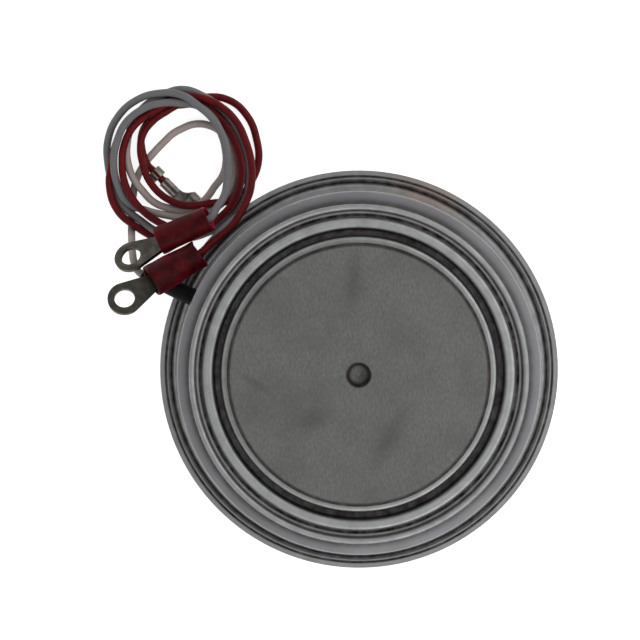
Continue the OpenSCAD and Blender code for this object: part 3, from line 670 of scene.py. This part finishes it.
# %% Colour and grain of the poles
fine = add(tree, "MapRange", {0: grain.outputs["Fac"], 1: 0.25, 2: 0.75})
tone = add(tree, "Mix", {0: fine.outputs[0], 6: linear("#727271"), 7: linear("#929291")}, data_type="RGBA")
haze = add(tree, "MapRange", {0: cloud.outputs["Fac"], 1: 0.42, 2: 0.72, 4: 0.4})
clouded = add(tree, "Mix", {0: haze.outputs[0], 6: tone.outputs[2], 7: linear("#686867")}, data_type="RGBA")
dirt = add(tree, "Math", {0: smear, 1: 0.4}, operation="MULTIPLY")
stained = add(
    tree, "Mix", {0: dirt.outputs[0], 6: clouded.outputs[2], 7: linear("#5c5b59")}, data_type="RGBA",
)
# radius, darkness: painted shade in the centring hole, with turned rings on its floor, and painted shade
# on the pole's own edge
pole_rings_and_shade = [
    (0, 0), (0.25, 0.02), (0.5, 0.3), (0.7, 0.2), (1.2, 0.22), (1.5, 0.55), (1.75, 0.88), (2.2, 0.82),
    (2.35, 0.05), (2.6, 0), (22.85, 0), (23.1, 0.85), (24, 0.9),
]
shaded = painted_shade_rings(tree, place, pole_rings_and_shade)
shade_mixed = add(tree, "Mix", {0: shaded, 6: stained.outputs[2], 7: linear(SHADE_BROWN)}, data_type="RGBA")
tree.links.new(shade_mixed.outputs[2], skin.inputs["Base Color"])
rough = add(tree, "MapRange", {0: cloud.outputs["Fac"], 1: 0.3, 2: 0.7, 3: 0.5, 4: 0.6})
tree.links.new(rough.outputs[0], skin.inputs["Roughness"])
bump = add(tree, "Bump", {"Strength": 0.25, "Distance": 0.03 * MM, "Height": grain.outputs["Fac"]})
tree.links.new(bump.outputs[0], skin.inputs["Normal"])

# %% [markdown]
# ## The sheet-metal flanges and the welded rim
# Deep-drawn nickel-plated sheet, satin and paler than the poles. Drawing leaves faint rings, so one noise
# runs on the distance from the axis; another one, in patches, dulls the plating. Brazing has left a tan stain
# at one place beside the ceramic.

# %% Material: drawn nickel sheet
drawn_nickel, tree, skin, place = new_material("drawn_nickel_sheet", Metallic=1)
across = add(tree, "VectorMath", {0: place, 1: (1, 1, 0)}, operation="MULTIPLY")
radius = add(tree, "VectorMath", {0: across.outputs[0]}, operation="LENGTH").outputs["Value"]
rings = add(tree, "TexNoise", {"W": radius, "Scale": per_mm(0.4), "Detail": 2}, noise_dimensions="1D")
patch = add(tree, "TexNoise", {"Vector": place, "Scale": per_mm(2.5), "Detail": 5, "Roughness": 0.6})
fac = add(tree, "MapRange", {0: patch.outputs["Fac"], 1: 0.3, 2: 0.72})
tone = add(tree, "Mix", {0: fac.outputs[0], 6: linear("#aeafaf"), 7: linear("#c6c8c8")}, data_type="RGBA")
# radius, darkness: painted shade in each groove and corner of the flanges and of the rim, from the inside out
sheet_painted_shade = [
    (24.7, 0), (25, 0.86), (26.05, 0.9), (26.3, 0.1), (26.6, 0), (28, 0), (28.3, 0.95),
    (28.5, 1), (28.8, 1), (28.93, 0.05), (29.1, 0.05), (29.22, 1), (29.3, 0.9), (29.45, 0),
    (30.2, 0.1), (30.5, 0.7), (33, 0), (33.5, 0.25), (34, 0.6), (34.3, 0.92), (34.85, 0.85),
    (35.05, 0), (35.2, 0), (35.42, 0.95), (35.68, 0.95), (35.85, 0.1), (36.6, 0.15),
]

# %% Colour and finish of the sheet
STAIN_AT = (12.6 * MM, 31.2 * MM, 8 * MM)
away = add(tree, "VectorMath", {0: place, 1: STAIN_AT}, operation="DISTANCE")
near = add(tree, "MapRange", {0: away.outputs["Value"], 1: 3 * MM, 2: 9 * MM, 3: 0.8, 4: 0})
heat = add(tree, "Math", {0: near.outputs[0], 1: patch.outputs["Fac"]}, operation="MULTIPLY", use_clamp=True)
tanned = add(tree, "Mix", {0: heat.outputs[0], 6: tone.outputs[2], 7: linear("#d0b09f")}, data_type="RGBA")
shaded = painted_shade_rings(tree, place, sheet_painted_shade)
shade_mixed = add(tree, "Mix", {0: shaded, 6: tanned.outputs[2], 7: linear(SHADE_BROWN)}, data_type="RGBA")
tree.links.new(shade_mixed.outputs[2], skin.inputs["Base Color"])
rough = add(tree, "MapRange", {0: patch.outputs["Fac"], 1: 0.3, 2: 0.7, 3: 0.54, 4: 0.44})
tree.links.new(rough.outputs[0], skin.inputs["Roughness"])
bump = add(tree, "Bump", {"Strength": 0.2, "Distance": 0.03 * MM, "Height": rings.outputs["Fac"]})
tree.links.new(bump.outputs[0], skin.inputs["Normal"])

# %% [markdown]
# ## The ceramic wall
# Alumina with a glossy lavender-grey glaze. A glaze is smooth, so its roughness is low; a faint cloudiness
# and painted shade under the flange's rolled edge keep it from looking like plastic.

# %% Material: glazed alumina
glazed_alumina, tree, skin, place = new_material("glazed_alumina", Roughness=0.22, IOR=1.6)
cloud = add(tree, "TexNoise", {"Vector": place, "Scale": per_mm(6), "Detail": 4})
fac = add(tree, "MapRange", {0: cloud.outputs["Fac"], 1: 0.3, 2: 0.7})
tone = add(tree, "Mix", {0: fac.outputs[0], 6: linear("#88878a"), 7: linear("#96959a")}, data_type="RGBA")
# radius, darkness: painted shade that the flange's rolled edge casts on the glaze
glaze_painted_shade = [(30, 0.9), (31, 0.8), (31.4, 0.45), (31.8, 0.2), (32.3, 0.05), (32.6, 0), (33, 0)]
shaded = painted_shade_rings(tree, place, glaze_painted_shade)
shade_mixed = add(tree, "Mix", {0: shaded, 6: tone.outputs[2], 7: linear(SHADE_BROWN)}, data_type="RGBA")
tree.links.new(shade_mixed.outputs[2], skin.inputs["Base Color"])

# %% [markdown]
# ## Pieces inside the capsule
# They are sealed in and show only in a cut-away, but each still gets the metal, silicon or plastic it is
# made of, with its own grain.

# %% Materials of the inner pieces
def grained(name, dark, light, grain_mm, **uniform):
    made, tree, skin, place = new_material(name, **uniform)
    grain = add(tree, "TexNoise", {"Vector": place, "Scale": per_mm(grain_mm), "Detail": 4})
    fac = add(tree, "MapRange", {0: grain.outputs["Fac"], 1: 0.3, 2: 0.7})
    tone = add(tree, "Mix", {0: fac.outputs[0], 6: linear(dark), 7: linear(light)}, data_type="RGBA")
    tree.links.new(tone.outputs[2], skin.inputs["Base Color"])
    bump = add(tree, "Bump", {"Strength": 0.2, "Distance": 0.03 * MM, "Height": grain.outputs["Fac"]})
    tree.links.new(bump.outputs[0], skin.inputs["Normal"])
    return made


tinned_brass = grained("tinned_brass_strip", "#8c8780", "#b0aba3", 0.8, Metallic=1, Roughness=0.42)
molybdenum = grained("ground_molybdenum", "#77797c", "#8c8e91", 0.5, Metallic=1, Roughness=0.4)
silicon = grained("polished_silicon", "#3c414c", "#4b5160", 2, Metallic=0.6, Roughness=0.15)
white_ptfe = grained("white_ptfe", "#d5d1c6", "#e6e3da", 1.5, Roughness=0.5)
plated_brass = grained("plated_brass", "#a58f56", "#bda76c", 0.7, Metallic=1, Roughness=0.3)
spring_steel = grained("drawn_spring_steel", "#8e8e8c", "#a4a4a2", 0.4, Metallic=1, Roughness=0.3)

# %% [markdown]
# ## The push-on receptacle
# It is folded from one blank of thin tinned brass: two wings grip the insulation, two rolled lobes grip the
# wire, and behind a neck the blank flares into a body with a curled rail at each side. The blank's edge is
# drawn point by point and extruded across; each curl is a drawn profile that is extruded along the blank.

# %% Tools for folded sheet
def trace(name, points):
    """Draws an open line by extruding one vertex from point to point."""
    deselect()
    bpy.ops.mesh.primitive_plane_add(size=MM, location=Vector(points[0]) * MM)
    line = named(name)
    bpy.ops.object.transform_apply(location=True)
    bpy.ops.object.mode_set(mode="EDIT")
    bpy.ops.mesh.merge(type="CENTER")
    for start, end in zip(points, points[1:]):
        extrude(*(Vector(end) - Vector(start)))
    bpy.ops.mesh.select_all(action="SELECT")
    return line


def give_sheet(piece, thickness):
    bpy.ops.object.mode_set(mode="OBJECT")
    add_modifier(piece, "SOLIDIFY", thickness=thickness * MM, offset=0)
    round_edges(piece, 0.08, 2)
    return piece


def fold(name, profile, start_x, end_x):
    folded = trace(name, [(start_x, y, z) for y, z in profile])
    extrude(end_x - start_x)
    return give_sheet(folded, BRASS_T)


# %% The receptacle's blank
BRASS_T = 0.36
WALL_H = 0.3
WALL_FROM = 3.2
WING_START = -2.8
DRAWN_W = 1  # width of the blank before its points are pushed out to their stations
# place along the receptacle, half width of the blank
blank_stations = [
    (WING_START, 0.6), (-0.9, 0.6), (0, 0.9), (3.3, 0.9), (3.8, 1), (4.3, 1.25), (4.8, 1.7),
    (5.2, 2.3), (5.5, 2.5),
]


def cut_blank(name):
    blank = trace(name, [(x, -half, BRASS_T / 2) for x, half in blank_stations])
    extrude(y=DRAWN_W)
    for x, half in blank_stations:
        select_points(blank, lambda p: abs(p.x - x) < 0.01 and p.y > DRAWN_W / 2 - half)
        push(y=2 * half - DRAWN_W)
    for side in (-1, 1):
        select_points(blank, lambda p: p.x > WALL_FROM and p.y * side > 0.5)
        extrude(z=WALL_H)
    return give_sheet(blank, BRASS_T)


# %% The receptacle's rails and wings
RAIL_R = 0.75
RAIL_HALF = 1.9
RAIL_Z = RAIL_R + BRASS_T / 2
BODY_START, BODY_END = 5.3, 11.4
WING_END = -1
WING_HALF_W, WING_HALF_H = 1.24, 0.91


def arc(centre_y, centre_z, half_w, half_h, first, last, steps):
    angles = [radians(first + (last - first) * i / steps) for i in range(steps + 1)]
    return [(centre_y + half_w * cos(a), centre_z + half_h * sin(a)) for a in angles]


def fold_wing(name, first, last):
    profile = arc(0, CRIMP_LEAD_Z, WING_HALF_W, WING_HALF_H, first, last, 14)
    return fold(name, profile, WING_START, WING_END)


rail = arc(RAIL_HALF, RAIL_Z, RAIL_R, RAIL_R, 150, -90, 16)
body = fold("receptacle_body", rail + [(-y, z) for y, z in reversed(rail)], BODY_START, BODY_END)
wings = [fold_wing("receptacle_wing_a", -90, 80), fold_wing("receptacle_wing_b", 270, 100)]

# %% The receptacle's lobes
LOBE_SIDES = 20
LOBE_Z = 0.95
LOBE_OFFSET = 0.5
LOBE_WALL = 0.1
lobe_stations = [(0, 0.6, 0.7), (0.25, 0.53, 0.62), (2.9, 0.53, 0.62), (3.25, 0.58, 0.68)]
lobes = []
for side in (-1, 1):
    lobe = loft("receptacle_lobe", lobe_stations, LOBE_SIDES, LOBE_Z)
    bpy.ops.object.mode_set(mode="EDIT")
    bpy.ops.mesh.select_all(action="SELECT")
    push(y=LOBE_OFFSET * side)
    bpy.ops.mesh.edge_face_add()
    lobes.append(give_sheet(lobe, LOBE_WALL))

# %% Join the receptacle
receptacle = cut_blank("cathode_push_on_receptacle")
pick(receptacle)
for part in [body, *wings, *lobes]:
    part.select_set(True)
bpy.ops.object.join()
settle(receptacle, (RECEPTACLE_X, RECEPTACLE_Y, 0), (0, 0, RECEPTACLE_TURN))
finish(receptacle, tinned_brass, "tinned_brass", "cathode_receptacle")

# %% [markdown]
# The record names a material slot for each node, so one table from slot to finish dresses every CAD node
# that stays in view.

# %% Dress the CAD nodes
finishes = {
    "nickel_plated_copper": lapped_nickel, "nickel_plated_sheet": drawn_nickel,
    "glazed_alumina": glazed_alumina,
    "molybdenum": molybdenum, "silicon": silicon, "white_ptfe": white_ptfe, "plated_brass": plated_brass,
    "spring_steel": spring_steel, "black_sleeving": black_sleeving, "grey_insulation": grey_insulation,
    "red_insulation": red_insulation, "tinned_copper": tinned_copper, "red_vinyl": red_vinyl,
    "tinned_brass": tinned_brass,
}
for subpart in frame["record"]["subparts"]:
    node = nodes[subpart["node"]]
    node.data.materials.clear()
    node.data.materials.append(finishes[subpart["material_slot"]])

# %% [markdown]

# %% [markdown]
# ## Table, room and light
# The photo is taken on a white table under soft light from all sides. The floor is a white diffuse sheet;
# towards the camera and in reflections it also glows a little, so that it reads as white and still shows a
# soft shadow. The room is white near the table's level and plain grey above, and three broad lamps light
# the object.

# %% Floor
FLOOR_SIZE = 12
FLOOR_GLOW = 0.8
deselect()
bpy.ops.mesh.primitive_plane_add(size=FLOOR_SIZE)
floor = named("floor")
paper, tree, skin, place = new_material("white_table", Roughness=0.9)
skin.inputs["Base Color"].default_value = linear("#f2f2f2")
rays = add(tree, "LightPath", {})
seen = rays.outputs["Is Camera Ray"]
for kind in ("Is Glossy Ray", "Is Transmission Ray"):
    seen = add(tree, "Math", {0: seen, 1: rays.outputs[kind]}, operation="MAXIMUM").outputs[0]
glow = add(tree, "Math", {0: seen, 1: FLOOR_GLOW}, operation="MULTIPLY")
tree.links.new(glow.outputs[0], skin.inputs["Emission Strength"])
skin.inputs["Emission Color"].default_value = linear("#ffffff")
floor.data.materials.append(paper)

# %% World
WHITE_UP_TO, GREY_FROM = 0.12, 0.25  # sines of the angle above the table: 7 and 14.5 degrees
scene = bpy.context.scene
scene.view_settings.view_transform = "Standard"
scene.world = bpy.data.worlds.new("soft_room")
scene.world.use_nodes = True
tree = scene.world.node_tree
room = tree.nodes["Background"]
around = add(tree, "TexCoord", {})
way = add(tree, "SeparateXYZ", {0: around.outputs["Generated"]})
height = add(tree, "MapRange", {0: way.outputs["Z"], 1: WHITE_UP_TO, 2: GREY_FROM})
shade = add(tree, "Mix", {0: height.outputs[0], 6: linear("#ffffff"), 7: linear("#a8a8a8")}, data_type="RGBA")
tree.links.new(shade.outputs[2], room.inputs["Color"])


# %% Lamps
def hang_lamp(name, place, aim, size, watts):
    deselect()
    bpy.ops.object.light_add(type="AREA", location=place)
    lamp = named(name)
    lamp.data.size = size
    lamp.data.energy = watts
    lamp.rotation_euler = (Vector(aim) - Vector(place)).to_track_quat("-Z", "Y").to_euler()


hang_lamp("lamp_front", (0.35, -1.0, 0.9), (0, 0, 0), 1.3, 5)
hang_lamp("lamp_right", (0.3, 0.12, 0.36), (0, 0, 0), 0.5, 0.55)
hang_lamp("lamp_left", (-1.0, 0.2, 0.9), (0, 0, 0), 1.3, 0.15)
